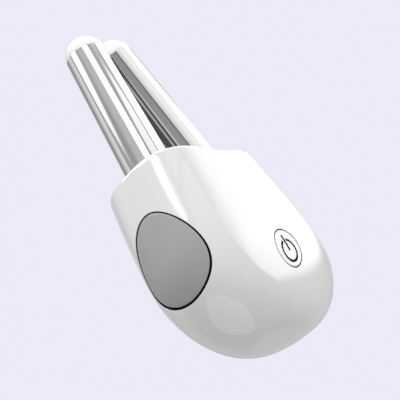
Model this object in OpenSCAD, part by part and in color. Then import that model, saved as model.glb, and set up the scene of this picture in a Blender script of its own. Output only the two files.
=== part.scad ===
// Red light nasal device: a pebble-shaped housing that carries two hinged light probes.
// Squeezing the two side pads swings the probes apart, and a button on the front switches
// the lights. Millimetres. X runs across the device, the front faces -Y, and the probes
// point up along +Z. The origin is at the middle of the flat foot.

/* [Housing] */
// Full width of the housing where it is widest
body_width = 42; // [40:0.5:46]
// Height above the foot where the housing is widest
body_width_z = 12.9; // [11:0.1:14]
// Full width of the housing at its rim
rim_width = 29.8; // [29.4:0.2:33]
// Height of the rim at the two sides
body_height = 34.3; // [33.8:0.1:38]
// Depth from the probe plane to the front face
front_depth = 10.4; // [10.3:0.1:12]
// Height above the foot where the front face is deepest
front_z = 16.8; // [15:0.1:18]
// Depth from the probe plane to the back face
back_depth = 11; // [10.8:0.1:12.5]
// Height above the foot where the back face is deepest
back_z = 11.8; // [11:0.1:14]
// Depth from the probe plane to the rim, front and back
rim_depth = 9.6; // [9.5:0.1:10.3]
// How far the rim dips at the middle of the front and back
rim_dip = 1.8; // [1:0.1:2.2]
// How much of the rounded bottom the flat foot takes off
foot_flat = 0.6; // [0.4:0.1:1]
// Wall thickness of the housing
wall = 1.6; // [1.4:0.1:1.7]

/* [Top cover] */
// How far the cover lies below the rim at the sides
cover_drop = 2.9; // [2.6:0.1:3.1]
// Thickness of the cover plate
cover_thick = 1.4; // [1:0.1:1.5]
// Gap between the cover's edge and the housing
cover_gap = 0.1; // [0.05:0.05:0.2]

/* [Probes] */
// Distance between the probe axes at the height of the rim
probe_spacing = 15.2; // [15.2:0.1:16]
// Lean of each probe towards the other, in degrees
probe_lean = 7.6; // [6.6:0.1:7.7]
// Probe diameter at the height of the rim
probe_base_d = 8.6; // [8.2:0.1:8.7]
// Probe diameter where the cap begins
probe_tip_d = 7.36; // [7.1:0.02:7.4]
// Probe length from the rim to the cap
probe_length = 27.7; // [26:0.1:32]
// Bore of the probe shaft
shaft_bore_d = 5.4; // [5:0.1:5.6]
// Depth of the wider seat at the tip that holds the light and the cap
tip_seat = 3.9; // [3.6:0.1:4.4]
// Diameter of that seat
tip_seat_d = 6.1; // [6:0.1:6.2]
// Wall thickness of the cap
cap_wall = 0.8; // [0.6:0.1:0.9]
// Diameter of the lamp in the tip
lamp_d = 3; // [2.6:0.1:3.4]

/* [Levers] */
// How far the pivots lie below the rim
pivot_drop = 7.1; // [7:0.1:7.4]
// Diameter of the pivot pins
pin_d = 2; // [1.8:0.1:2.2]
// Running clearance around a pin, on the radius
pin_clearance = 0.05; // [0.03:0.01:0.08]
// Diameter of a lever's hub
hub_d = 5.6; // [5.2:0.1:5.8]
// Slant of a lever's tail from upright, in degrees
tail_slant = 20; // [19:0.5:21]
// Thickness of a lever's tail
tail_thick = 2.8; // [2.4:0.1:3]
// How far each probe swings open, in degrees
open_angle = 9; // [7:0.5:9]
// Wire diameter of the lever springs
spring_wire = 0.36; // [0.3:0.02:0.38]

/* [Side pads] */
// Height of the pads' middle above the foot
pad_z = 15.8; // [15:0.1:16.6]
// Height of a pad above its middle
pad_up = 8.9; // [8:0.1:9.4]
// Height of a pad below its middle
pad_down = 8.5; // [8:0.1:9]
// Half the depth of a pad at its middle
pad_half = 6.5; // [6:0.1:6.8]
// How much wider a pad is at its lower end
pad_egg = 0.165; // [0.1:0.005:0.2]
// Gap between a pad and its window
pad_gap = 0.3; // [0.2:0.05:0.4]
// Gap between a pad's flange and the inside of the wall
flange_gap = 0.2; // [0.15:0.05:0.3]
// How far the flange reaches past the window
flange_lip = 0.6; // [0.5:0.1:0.8]
// Thickness of a pad's flange
flange_thick = 1; // [0.8:0.1:1.2]
// Radius of the nose that presses the lever
nose_r = 1.5; // [1.2:0.1:1.6]
// Height of the nose above the foot
nose_z = 14.5; // [14.2:0.1:14.8]
// Gap between the nose and the lever's tail
nose_gap = 0.2; // [0.15:0.05:0.3]

/* [Power button] */
// Height of the button's middle above the foot
button_z = 10.6; // [10.4:0.1:11.4]
// Diameter of the button
button_d = 7.1; // [6.6:0.1:7.4]
// Gap around the button
button_gap = 0.16; // [0.12:0.02:0.2]
// Travel of the button
button_travel = 0.3; // [0.2:0.05:0.3]
// Thickness of the button's flange
button_flange = 0.8; // [0.7:0.1:0.9]
// Height of the tact switch's case
switch_case = 1.4; // [1.3:0.1:1.5]
// Mean radius of the ring in the power symbol
symbol_r = 2; // [1.8:0.05:2.1]
// Line width of the power symbol
symbol_line = 0.45; // [0.35:0.05:0.5]

/* [Electronics] */
// Battery width and depth
battery_size = [14.4, 4.5];
// Room between the battery and the pivot cheeks
battery_room = 2; // [1.8:0.1:3]
// Gap between the battery and the button's board
battery_gap = 0.15; // [0.1:0.05:0.3]
// Height of the battery's underside above the foot
battery_z = 6; // [5.8:0.1:6.2]
// Thickness of the main board
board_thick = 1; // [0.8:0.1:1.2]
// Half the width of the main board
board_half = 8.5; // [8.5:0.1:9]
// Height of the charging socket above the foot
socket_z = 9.8; // [9.6:0.1:10]
// Outside width and height of the charging socket
socket_size = [8.94, 3.26];
// Gap between the charging socket and the housing
socket_gap = 0.18; // [0.12:0.02:0.24]
// Diameter of the inner wires over their insulation
wire_d = 0.6; // [0.5:0.05:0.6]

/* [Hidden] */

// Rings and points of the housing's skins
ring_points = 72;
low_rings = 13;
high_rings = 9;
pad_low_ring = 6;
pad_high_ring = 5;
pad_steps = 15;
width_curve = 2.08;
front_curve = 1.95;
back_curve = 3.2;
rise_curve = 1.25;
low_section = 2.03;
rim_section = 2.95;

// Half size of a skin at height z, from its middle size, rim size and curve
function side_size(z, middle, rim, z_mid, curve, inset) =
    let (pole = inset - foot_flat, m = middle - inset, r = rim - inset)
    z < z_mid
        ? m * pow(max(0, 1 - pow((z_mid - z) / (z_mid - pole), curve)), 1 / curve)
        : m + (r - m) * pow((z - z_mid) / (body_height - z_mid), rise_curve);
function width_at(z, inset) =
    side_size(z, body_width / 2, rim_width / 2, body_width_z, width_curve, inset);
function front_at(z, inset) = side_size(z, front_depth, rim_depth, front_z, front_curve, inset);
function back_at(z, inset) = side_size(z, back_depth, rim_depth, back_z, back_curve, inset);
function section_power(z) =
    low_section + (rim_section - low_section) * max(0, min(1, z / body_height));
function rounded(value, power) = sign(value) * pow(abs(value), 2 / power);
function skin_point(z, angle, inset) =
    let (p = section_power(z), depth = sin(angle) < 0 ? front_at(z, inset) : back_at(z, inset))
    [width_at(z, inset) * rounded(cos(angle), p), depth * rounded(sin(angle), p), z];
// Where a skin lies at depth y and height z
function skin_x(y, z, inset) =
    let (p = section_power(z), depth = y < 0 ? front_at(z, inset) : back_at(z, inset))
    width_at(z, inset) * pow(max(0, 1 - pow(abs(y) / depth, p)), 1 / p);

// Points of a tube along a path, with its sides square to the path
function unit(v) = v / norm(v);
function path_dir(path, i) =
    i == 0 ? unit(path[1] - path[0])
    : i == len(path) - 1 ? unit(path[i] - path[i - 1])
    : unit(unit(path[i] - path[i - 1]) + unit(path[i + 1] - path[i]));
function side_dir(dir, up) = unit(cross(dir, up));
function smooth_path(points, steps) = [
    for (i = [0 : len(points) - 2])
        let (
            a = points[max(0, i - 1)], b = points[i],
            c = points[i + 1], d = points[min(len(points) - 1, i + 2)]
        )
        for (k = [0 : steps - (i == len(points) - 2 ? 0 : 1)])
            let (t = k / steps)
            0.5 * (2 * b + (c - a) * t + (2 * a - 5 * b + 4 * c - d) * t * t
                + (3 * b - a - 3 * c + d) * t * t * t)
];

// Derived places
rim_half = rim_width / 2;
dip_radius = (rim_half * rim_half + rim_dip * rim_dip) / (2 * rim_dip);
cover_top = body_height - cover_drop;
cover_under = cover_top - cover_thick;
pivot_z = body_height - pivot_drop;
pivot_x = probe_spacing / 2 + pivot_drop * tan(probe_lean);
rim_reach = pivot_drop / cos(probe_lean);
cap_reach = rim_reach + probe_length;
probe_taper = (probe_base_d - probe_tip_d) / 2 / probe_length;
function probe_r(reach) = probe_tip_d / 2 + (cap_reach - reach) * probe_taper;
shoulder_reach = hub_d / 2 + 0.5;
neck_thick = 0.8;
stem_gap = 0.05;
stem_reach = shoulder_reach + 9;
seat_reach = cap_reach - tip_seat;
cover_slot_gap = 0.3;
lamp_board_thick = 0.8;
hub_front = 2;
hub_back = 3.7;
tail_front = 3.6;
tail_back = 2;
tail_length = (pivot_z - nose_z + nose_r) / cos(tail_slant);

// Button: its own frame points out of the front face
button_y = front_at(button_z, 0);
button_tilt = atan((front_at(button_z + 1, 0) - front_at(button_z - 1, 0)) / 2);
collar_depth = wall + 0.4;
collar_wall = 2;
button_lip = 1;
button_round = 0.3;
stud_r = 1.2;
symbol_depth = 0.2;
switch_half = 1.75;
plunger_r = 0.9;
flange_depth = collar_depth + 0.15;
stem_depth = flange_depth + button_flange;
plunger_depth = stem_depth + 0.65;
case_depth = plunger_depth + button_travel + 0.05;
key_board_depth = case_depth + switch_case;
key_board_thick = 0.8;
key_board_up = 4;

// Frame: cheeks that hold the pins, a bridge, a back plate and two side arms
cheek_in = 4;
cheek_out = 5.2;
cheek_top = pivot_z + pin_d / 2 + 0.6;
cheek_low = pivot_z - 3.2;
cheek_half = pivot_x + pin_d / 2 + 2.2;
bridge_half = pivot_x - hub_d / 2 - 0.45;
bridge_low = pivot_z - 1.4;
post_half = 2.6;
lug_y = cheek_out + 1;
lug_half = 0.5;
lug_drop = 1.6;
tape_thick = 0.4;
tape_half = 4.5;
tape_inset = 2;
battery_tab = 1;
plate_thick = 1;
battery_front = battery_gap - button_y + key_board_up * sin(button_tilt)
    + (key_board_depth + key_board_thick) * cos(button_tilt);
tape_y = battery_front + battery_size[1];
plate_y = tape_y + tape_thick;
plate_back = plate_y + plate_thick;
battery_top = cheek_low - battery_room;
battery_height = battery_top - battery_z;
shelf_low = battery_top + 1;
foot_plate_z = 4.5;
foot_plate_thick = 1;
lead_slot = 2.2;
arm_in = battery_size[0] / 2 + 0.4;
arm_out = arm_in + 1.2;
key_board_half = arm_out - 0.6;
arm_low = 6.2;
arm_high = 15;
screw_x = 6.8;
screw_y = plate_back + 2.3;
boss_r = 1.6;
boss_low = wall + 0.2;
tab_half = 1.5;
rib_half = 0.8;
rib_low = 2;
rib_front = 2.4;
rib_back = 1.6;
screw_r = 0.75;
screw_head_r = 1.4;
screw_head = 0.8;
screw_tip = 2.2;
standoff = 0.4;
chip_space = 1;
board_y = plate_back + standoff;
board_back = board_y + board_thick;
board_low = foot_plate_z + foot_plate_thick + screw_head + 0.3;
board_high = battery_top - 0.4;
board_screw_x = board_half - 1.5;
board_screw_z = board_high - 2;
board_screw_r = 0.6;
board_head_r = 1.05;
board_head = 0.6;

// Pads: the sphere on the nose rests on the slanted tail at both ends of the travel
function nose_x(slant) =
    pivot_x + (tail_thick / 2 + nose_r + nose_gap + (pivot_z - nose_z) * sin(slant)) / cos(slant);
pad_travel = nose_x(tail_slant) - nose_x(tail_slant - open_angle);
carrier_inset = wall + flange_gap;
pad_root = body_width / 2 - 12;

// Heights of the rings below and above the deepest place of the front
function low_heights(inset, first) =
    [for (k = [first : low_rings]) inset + (front_z - inset) * (1 - cos(90 * k / low_rings))];
function high_heights(last) =
    [for (k = [1 : last]) front_z + (body_height - front_z) * k / high_rings];

// Solid inside a skin, between the first and last of the heights and angles
module skin_block(inset, heights, angles) {
    n = len(angles);
    last = len(heights) - 1;
    points = [for (z = heights) for (a = angles) skin_point(z, a, inset)];
    sides = [
        for (i = [0 : last - 1]) for (j = [0 : n - 1])
            let (a = i * n + j, b = i * n + (j + 1) % n)
            each [[a, a + n, b + n], [a, b + n, b]]
    ];
    caps = [[for (j = [0 : n - 1]) j], [for (j = [n - 1 : -1 : 0]) last * n + j]];
    polyhedron(points = points, faces = concat(sides, caps), convexity = 6);
}

module skin(inset, heights) {
    skin_block(inset, heights, [for (j = [0 : ring_points - 1]) 360 * j / ring_points]);
}

// The same skin behind one side pad only
module side_skin(inset) {
    step = 360 / ring_points;
    heights = concat(low_heights(inset, pad_low_ring), high_heights(pad_high_ring));
    skin_block(inset, heights, [for (j = [-pad_steps : pad_steps]) j * step]);
}

module tube_along(path, r, sides) {
    last = len(path) - 1;
    up = [0.31, 0.17, 0.93];
    rings = [
        for (i = [0 : last])
            let (d = path_dir(path, i), s = side_dir(d, up), t = cross(s, d))
            for (j = [0 : sides - 1])
                path[i] + r * (cos(360 * j / sides) * s + sin(360 * j / sides) * t)
    ];
    walls = [
        for (i = [0 : last - 1]) for (j = [0 : sides - 1])
            let (a = i * sides + j, b = i * sides + (j + 1) % sides)
            each [[a, b, b + sides], [a, b + sides, a + sides]]
    ];
    ends = [[for (j = [sides - 1 : -1 : 0]) j], [for (j = [0 : sides - 1]) last * sides + j]];
    polyhedron(points = rings, faces = concat(walls, ends), convexity = 6);
}

module on_side(side) {
    if (side < 0) mirror([1, 0, 0]) children();
    else children();
}

// Frame of one probe: +Z runs up its axis from the pivot
module on_probe() {
    translate([pivot_x, 0, pivot_z]) rotate([0, -probe_lean, 0]) children();
}

// Frame of the button: +Z points out of the front face
module on_button() {
    translate([0, -button_y, button_z]) rotate([90 + button_tilt, 0, 0]) children();
}

// Bar along Y at the given x and z
module rod_y(x, z, r, y0, y1) {
    translate([x, y1, z]) rotate([90, 0, 0]) cylinder(r = r, h = y1 - y0, $fn = 48);
}

module box(low, high) {
    translate(low) cube(high - low);
}

module pad_prism(grow, x0, x1) {
    outline = [
        for (k = [0 : 47])
            let (t = 360 * k / 48, up = sin(t) > 0 ? pad_up : pad_down)
            [(pad_half * (1 - pad_egg * sin(t)) + grow) * cos(t), pad_z + (up + grow) * sin(t)]
    ];
    translate([x0, 0, 0]) rotate([90, 0, 90]) linear_extrude(x1 - x0) polygon(outline);
}

module slot_bar(width, height, y0, y1, z) {
    r = height / 2;
    for (x = [-1, 1]) rod_y(x * (width / 2 - r), z, r, y0, y1);
    box([-(width / 2 - r), y0, z - r], [width / 2 - r, y1, z + r]);
}

module housing() color("white") {
    difference() {
        union() {
            difference() {
                skin(0, concat(low_heights(0, 0), high_heights(high_rings)));
                skin(wall, concat(low_heights(wall, 0), high_heights(high_rings + 1)));
            }
            for (side = [-1, 1]) {
                translate([side * screw_x, screw_y, boss_low])
                    cylinder(r = boss_r, h = foot_plate_z - boss_low, $fn = 32);
                box([side * arm_out - rib_half, -rib_front, rib_low],
                    [side * arm_out + rib_half, rib_back, arm_low]);
            }
            on_button() translate([0, 0, -collar_depth])
                cylinder(r = button_d / 2 + collar_wall, h = collar_depth - wall * 0.6, $fn = 64);
        }
        translate([0, 0, body_height - rim_dip + dip_radius])
            rod_y(0, 0, dip_radius, -back_depth - 2, back_depth + 2);
        for (side = [-1, 1]) {
            on_side(side) pad_prism(pad_gap, pad_root, body_width / 2 + 1);
            translate([side * screw_x, screw_y, screw_tip])
                cylinder(r = screw_r, h = foot_plate_z, $fn = 32);
        }
        on_button() translate([0, 0, -collar_depth - 1])
            cylinder(r = button_d / 2 + button_gap, h = collar_depth + 4, $fn = 64);
        slot_bar(socket_size[0] + 2 * socket_gap, socket_size[1] + 2 * socket_gap,
            back_depth - 3, back_depth + 2, socket_z);
    }
}

module top_cover() color("whitesmoke") {
    swing = (cover_top - pivot_z) * sin(open_angle);
    difference() {
        union() {
            intersection() {
                skin(wall + cover_gap, [cover_under - 0.5, (cover_under + cover_top) / 2, cover_top + 0.5]);
                box([-rim_half - 5, -rim_depth - 2, cover_under], [rim_half + 5, rim_depth + 2, cover_top]);
            }
            for (y = [-1, 1])
                box([-post_half, y * lug_y - lug_half, cover_under - lug_drop],
                    [post_half, y * lug_y + lug_half, cover_under + 0.2]);
        }
        for (side = [-1, 1]) on_side(side) {
            slot_r = probe_r(shoulder_reach) + cover_slot_gap;
            x = pivot_x - ((cover_under + cover_top) / 2 - pivot_z) * tan(probe_lean);
            translate([x, 0, cover_under - 1]) cylinder(r = slot_r, h = cover_thick + 2, $fn = 64);
            translate([x + swing, 0, cover_under - 1]) cylinder(r = slot_r, h = cover_thick + 2, $fn = 64);
            box([x, -slot_r, cover_under - 1], [x + swing, slot_r, cover_top + 1]);
        }
    }
}

module inner_frame() color("gainsboro") {
    difference() {
        union() {
            for (y = [-1, 1])
                box([-cheek_half, y > 0 ? cheek_in : -cheek_out, cheek_low],
                    [cheek_half, y > 0 ? cheek_out : -cheek_in, cheek_top]);
            box([-bridge_half, -cheek_in, bridge_low], [bridge_half, cheek_in, cheek_top]);
            box([-post_half, -cheek_in, cheek_top], [post_half, cheek_in, cover_under]);
            box([-bridge_half, plate_y, shelf_low], [bridge_half, cheek_out, cheek_low + 1]);
            box([-arm_out, plate_y, foot_plate_z], [arm_out, plate_back, shelf_low]);
            for (side = [-1, 1]) {
                box([side > 0 ? arm_in : -arm_out, 0, 0] + [0, 0, arm_low],
                    [side > 0 ? arm_out : -arm_in, plate_y, arm_high]);
                side_arm(side);
                box([side * screw_x - tab_half, plate_y, foot_plate_z],
                    [side * screw_x + tab_half, screw_y + tab_half - 0.2, foot_plate_z + foot_plate_thick]);
                for (z = [board_low + 3, board_screw_z])
                    rod_y(side * board_screw_x, z, 1.1, plate_back, board_y);
            }
        }
        for (side = [-1, 1]) {
            rod_y(side * pivot_x, pivot_z, pin_d / 2, -cheek_out - 1, cheek_out + 1);
            translate([side * screw_x, screw_y, foot_plate_z - 1])
                cylinder(r = screw_r + 0.1, h = foot_plate_thick + 2, $fn = 32);
            rod_y(side * board_screw_x, board_screw_z, board_screw_r, plate_y - 1, board_y + 1);
        }
        box([-lead_slot, plate_y - 1, shelf_low - wire_d - 0.3], [lead_slot, plate_back + 1, shelf_low - 0.05]);
        box([-lead_slot, plate_y - 1, foot_plate_z - 1],
            [lead_slot, plate_back + 1, foot_plate_z + foot_plate_thick]);
    }
}

// Side arm that carries the button's board, cut off along the board's back
module side_arm(side) {
    back = key_board_depth + key_board_thick;
    intersection() {
        box([side > 0 ? arm_in : -arm_out, -button_y, arm_low], [side > 0 ? arm_out : -arm_in, 0.1, arm_high]);
        on_button() translate([0, 0, -back - 20]) cube([60, 60, 40], center = true);
    }
}

module frame_screws() color("silver") {
    for (side = [-1, 1]) translate([side * screw_x, screw_y, 0]) {
        translate([0, 0, screw_tip + 0.1])
            cylinder(r = screw_r, h = foot_plate_z + foot_plate_thick - screw_tip - 0.1, $fn = 32);
        screw_head(foot_plate_z + foot_plate_thick, screw_head_r, screw_head);
    }
}

// Pan head with a cross slot, standing on the given height
module screw_head(z, r, h) {
    translate([0, 0, z]) difference() {
        cylinder(r = r, h = h, $fn = 32);
        for (a = [0, 90]) rotate([0, 0, a])
            translate([0, 0, h]) cube([r * 1.3, r * 0.28, h], center = true);
    }
}

module pivot_pin(side) color("silver") {
    rod_y(side * pivot_x, pivot_z, pin_d / 2, -cheek_out, cheek_out);
}

module main_board() color("darkgreen") {
    difference() {
        box([-board_half, board_y, board_low], [board_half, board_back, board_high]);
        for (side = [-1, 1])
            rod_y(side * board_screw_x, board_screw_z, board_screw_r + 0.05, board_y - 1, board_back + 1);
    }
}

module board_chips() color("dimgray") {
    low = socket_z + socket_size[1] / 2 + chip_space;
    row = (board_high - low - 2 * chip_space) / 2;
    high = low + row + chip_space;
    box([-board_half + 1.5, board_back, low], [-board_half + 5, board_back + 1, low + row]);
    box([0.5, board_back, low], [5.5, board_back + 1.1, low + row]);
    box([-board_half + 3.5, board_back, high], [-board_half + 6.5, board_back + 1.6, high + row]);
    for (k = [0 : 2])
        box([1.2 + 1.5 * k, board_back, high + row * 0.2], [2 + 1.5 * k, board_back + 0.5, high + row * 0.7]);
}

module board_screws() color("silver") {
    for (side = [-1, 1]) translate([side * board_screw_x, 0, board_screw_z]) rotate([-90, 0, 0]) {
        translate([0, 0, plate_y + 0.1])
            cylinder(r = board_screw_r, h = board_back - plate_y - 0.1, $fn = 32);
        screw_head(board_back, board_head_r, board_head);
    }
}

module charging_socket() color("silver") {
    w = socket_size[0];
    h = socket_size[1];
    difference() {
        slot_bar(w, h, board_back, back_depth - 0.4, socket_z);
        slot_bar(w - 0.6, h - 0.6, board_back + 0.3, back_depth + 1, socket_z);
    }
}

module socket_insert() color("black") {
    w = socket_size[0];
    h = socket_size[1];
    slot_bar(w - 0.7, h - 0.7, board_back + 0.3, board_back + 1.3, socket_z);
    box([-3.35, board_back + 1.2, socket_z - 0.35], [3.35, back_depth - 1, socket_z + 0.35]);
}

module battery() color("silver") {
    half = battery_size[0] / 2;
    r = battery_size[1] / 2;
    y = battery_front + r;
    for (side = [-1, 1])
        translate([side * (half - r), y, battery_z])
            cylinder(r = r, h = battery_height - battery_tab, $fn = 48);
    box([-(half - r), battery_front, battery_z], [half - r, tape_y, battery_top - battery_tab]);
    box([-(half - r), y - 0.5, battery_top - battery_tab - 0.1], [half - r, y + 0.5, battery_top]);
}

module battery_tape() color("gold") {
    box([-tape_half, tape_y, battery_z + tape_inset],
        [tape_half, plate_y, battery_top - battery_tab - tape_inset]);
}

module battery_leads() color("crimson") {
    y = battery_front + battery_size[1] / 2;
    z = shelf_low - 0.45;
    for (x = [-1, 1]) tube_along(concat([[x, y, battery_top]], smooth_path([
        [x, y, battery_top + 0.2], [x, y + 0.9, z],
        [x, plate_y, z], [x, board_y, z], [x, board_back + 0.2, z],
        [x, board_back + 0.9, z - 0.7], [x, board_back + 0.9, z - 1.6], [x, board_back + 0.5, z - 2.2]
    ], 3), [[x, board_back, z - 2.2]]), wire_d / 2, 8);
}

module switch_board() color("darkgreen") {
    on_button() translate([-key_board_half, -key_board_up, -key_board_depth - key_board_thick])
        cube([2 * key_board_half, 2 * key_board_up, key_board_thick]);
}

module tact_switch() color("dimgray") {
    on_button() translate([0, 0, -key_board_depth]) difference() {
        translate([-switch_half, -switch_half, 0]) cube([2 * switch_half, 2 * switch_half, switch_case]);
        translate([0, 0, switch_case * 0.35]) cylinder(r = plunger_r + 0.1, h = switch_case, $fn = 32);
    }
}

module switch_plunger() color("black") {
    on_button() translate([0, 0, -plunger_depth - button_travel - 0.3])
        cylinder(r = plunger_r, h = button_travel + 0.3, $fn = 32);
}

module switch_leads() color("gray") {
    start = on_button_point([0, -key_board_up - 0.1, -key_board_depth - key_board_thick / 2]);
    low = battery_z - wire_d - 0.4;
    for (x = [-1, 0, 1]) tube_along(concat(smooth_path([
        start + [x, 0, 0], start + [x, -0.1, -0.8], [x, start[1] - 0.1, battery_z + 0.3],
        [x, start[1] + 0.6, low + 0.2], [x, 0, low], [x, plate_back, low],
        [x, board_back + 0.6, low + 0.3], [x, board_back + 0.9, board_low],
        [x, board_back + 0.4, board_low + 0.6]
    ], 2), [[x, board_back, board_low + 0.6]]), wire_d / 2, 6);
}

// A point given in the button's frame, in the part's own frame
function on_button_point(p) = let (a = 90 + button_tilt) [
    p[0],
    -button_y + p[1] * cos(a) - p[2] * sin(a),
    button_z + p[1] * sin(a) + p[2] * cos(a)
];

module lever(side) color("white") on_side(side) {
    difference() {
        union() {
            rod_y(pivot_x, pivot_z, hub_d / 2, -hub_front, hub_back);
            on_probe() {
                translate([0, 0, shoulder_reach - neck_thick])
                    cylinder(r = probe_r(shoulder_reach), h = neck_thick, $fn = 64);
                translate([0, 0, shoulder_reach - neck_thick])
                    cylinder(r = shaft_bore_d / 2 - stem_gap, h = stem_reach - shoulder_reach, $fn = 48);
            }
            translate([pivot_x, 0, pivot_z]) rotate([0, -tail_slant, 0]) {
                box([-tail_thick / 2, -tail_front, -tail_length],
                    [tail_thick / 2, tail_back, -hub_d / 2 - 0.1]);
                box([-tail_thick / 2, -hub_front, -hub_d / 2 - 0.2], [tail_thick / 2, tail_back, 0]);
            }
        }
        rod_y(pivot_x, pivot_z, pin_d / 2 + pin_clearance, -hub_front - 3, hub_back + 1);
        on_probe() {
            translate([0, 0, shoulder_reach - neck_thick + 0.1]) cylinder(r = 1.1, h = stem_reach, $fn = 32);
            box([-1.1, 0, shoulder_reach - neck_thick - 0.2], [1.1, 6, shoulder_reach + 0.4]);
        }
    }
}

module probe_shaft(side) color("lightsteelblue") on_side(side) on_probe() {
    difference() {
        translate([0, 0, shoulder_reach])
            cylinder(r1 = probe_r(shoulder_reach), r2 = probe_tip_d / 2,
                h = cap_reach - shoulder_reach, $fn = 96);
        translate([0, 0, shoulder_reach - 1]) cylinder(d = shaft_bore_d, h = cap_reach, $fn = 64);
        translate([0, 0, seat_reach]) cylinder(d = tip_seat_d, h = tip_seat + 1, $fn = 64);
    }
}

// Domed cap with a skirt inside the shaft and a hollow over the lamp
module probe_cap(side) color("snow") on_side(side) on_probe() translate([0, 0, cap_reach]) {
    r = probe_tip_d / 2;
    skirt = tip_seat_d / 2 - 0.04;
    skirt_low = -tip_seat + lamp_board_thick + 0.1;
    inner = skirt - cap_wall;
    rotate_extrude($fn = 96) difference() {
        union() {
            intersection() {
                circle(r = r, $fn = 96);
                square(r + 1);
            }
            translate([0, skirt_low]) square([skirt, -skirt_low + 0.5]);
        }
        intersection() {
            circle(r = r - cap_wall, $fn = 96);
            translate([0, inner * 0.5]) square([r, r]);
        }
        translate([-1, skirt_low - 1]) square([inner + 1, inner * 0.5 - skirt_low + 1.01]);
        translate([-r - 1, -10]) square([r + 1, 20]);
    }
}
module lamp_board(side) color("seagreen") on_side(side) on_probe() {
    translate([0, 0, seat_reach]) cylinder(r = tip_seat_d / 2 - 0.08, h = lamp_board_thick, $fn = 64);
}

module red_lamp(side) color("red") on_side(side) on_probe() {
    low = seat_reach + lamp_board_thick;
    body = tip_seat - lamp_board_thick - 0.6;
    translate([0, 0, low]) rotate_extrude($fn = 48) {
        square([lamp_d / 2, body]);
        square([lamp_d / 2 + 0.25, 0.5]);
        translate([0, body]) intersection() {
            circle(d = lamp_d, $fn = 48);
            square(lamp_d);
        }
    }
}

// A point given in the probe's frame, in the part's own frame
function on_probe_point(p) = [
    pivot_x + p[0] * cos(probe_lean) - p[2] * sin(probe_lean),
    p[1],
    pivot_z + p[0] * sin(probe_lean) + p[2] * cos(probe_lean)
];

module lamp_leads(side) color("crimson") on_side(side) {
    low = shoulder_reach - neck_thick / 2;
    for (s = [-1, 1]) {
        x = s * 0.36;
        tube_along(concat(smooth_path([
            on_probe_point([x, 0, seat_reach]), on_probe_point([x, 0, seat_reach - 9]),
            on_probe_point([x, 0, seat_reach - 18]), on_probe_point([x, 0, low + 1.6]),
            on_probe_point([x, 0.5, low + 0.4]), on_probe_point([x, 1.8, low - 0.05]),
            on_probe_point([x, 3.6, low - 0.15]),
            [pivot_x - 0.5 + x, cheek_out + 0.1, cheek_top + 0.45],
            [pivot_x - 1.2 + x, cheek_out + 1.1, cheek_top - 0.6],
            [pivot_x - 2.4 + x, board_back + 1.4, board_high + 2],
            [pivot_x - 2.8 + x, board_back + 1, board_high],
            [pivot_x - 2.8 + x, board_back + 0.5, board_high - 0.9]
        ], 3), [[pivot_x - 2.8 + x, board_back, board_high - 0.9]]), wire_d / 2, 8);
    }
}

// Torsion spring round the pivot: one leg under the bridge, one leg along the tail
module lever_spring(side) color("gray") on_side(side) {
    coil_r = pin_d / 2 + 0.72;
    y0 = -cheek_in + 0.35;
    y1 = -hub_front - 0.32;
    from = 270;
    to = 180 + tail_slant + 1080;
    steps = 48;
    coil = [
        for (k = [0 : steps])
            let (a = from + (to - from) * k / steps)
            [pivot_x + coil_r * cos(a), y0 + (y1 - y0) * k / steps, pivot_z + coil_r * sin(a)]
    ];
    leg_low = [for (k = [3 : -1 : 1]) coil[0] - [k * 1.4, 0, 0]];
    leg_tail = [for (k = [1 : 3]) coil[steps] + k * 1.3 * [sin(tail_slant), 0, -cos(tail_slant)]];
    tube_along(concat(leg_low, coil, leg_tail), spring_wire / 2, 6);
}

module pad_grip(side) color("gray") on_side(side) {
    intersection() {
        difference() {
            side_skin(0);
            side_skin(carrier_inset);
        }
        pad_prism(0, pad_root, body_width / 2 + 1);
    }
}

module pad_carrier(side) color("darkgray") on_side(side) {
    tip = nose_x(tail_slant);
    union() {
        intersection() {
            difference() {
                side_skin(carrier_inset);
                side_skin(carrier_inset + flange_thick);
            }
            pad_prism(pad_gap + flange_lip, pad_root, body_width / 2 + 1);
        }
        translate([tip, 0, nose_z]) {
            sphere(r = nose_r, $fn = 32);
            rotate([0, 90, 0])
                cylinder(r = nose_r, h = skin_x(0, nose_z, carrier_inset + 0.5) - tip, $fn = 32);
        }
    }
}

module power_button() color("white") on_button() {
    r = button_d / 2;
    difference() {
        union() {
            rotate_extrude($fn = 96) {
                translate([0, -stem_depth]) square([r + button_lip, button_flange]);
                translate([0, -flange_depth]) square([r, flange_depth - button_round]);
                translate([0, -button_round - 0.01]) square([r - button_round, button_round + 0.01]);
                translate([r - button_round, -button_round]) intersection() {
                    circle(r = button_round, $fn = 48);
                    square(1);
                }
            }
            translate([0, 0, -plunger_depth + 0.02]) cylinder(r = stud_r, h = stem_depth - 1.2, $fn = 32);
        }
        symbol_shape(symbol_depth, symbol_depth + 0.1, 0);
    }
}

// Ring and stroke of the power symbol, from the given depth up
module symbol_shape(depth, height, gap) {
    half = symbol_line / 2 - gap;
    translate([0, 0, -depth]) {
        difference() {
            cylinder(r = symbol_r + half, h = height, $fn = 64);
            translate([0, 0, -1]) cylinder(r = symbol_r - half, h = height + 2, $fn = 64);
            translate([-symbol_line * 1.1 - gap, 0, -1])
                cube([symbol_line * 2.2 + 2 * gap, symbol_r * 2, height + 2]);
        }
        translate([-half, symbol_r * 0.15, 0]) cube([2 * half, symbol_r * 1.15, height]);
    }
}

module power_symbol() color("black") on_button() symbol_shape(symbol_depth, symbol_depth, 0);

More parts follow.
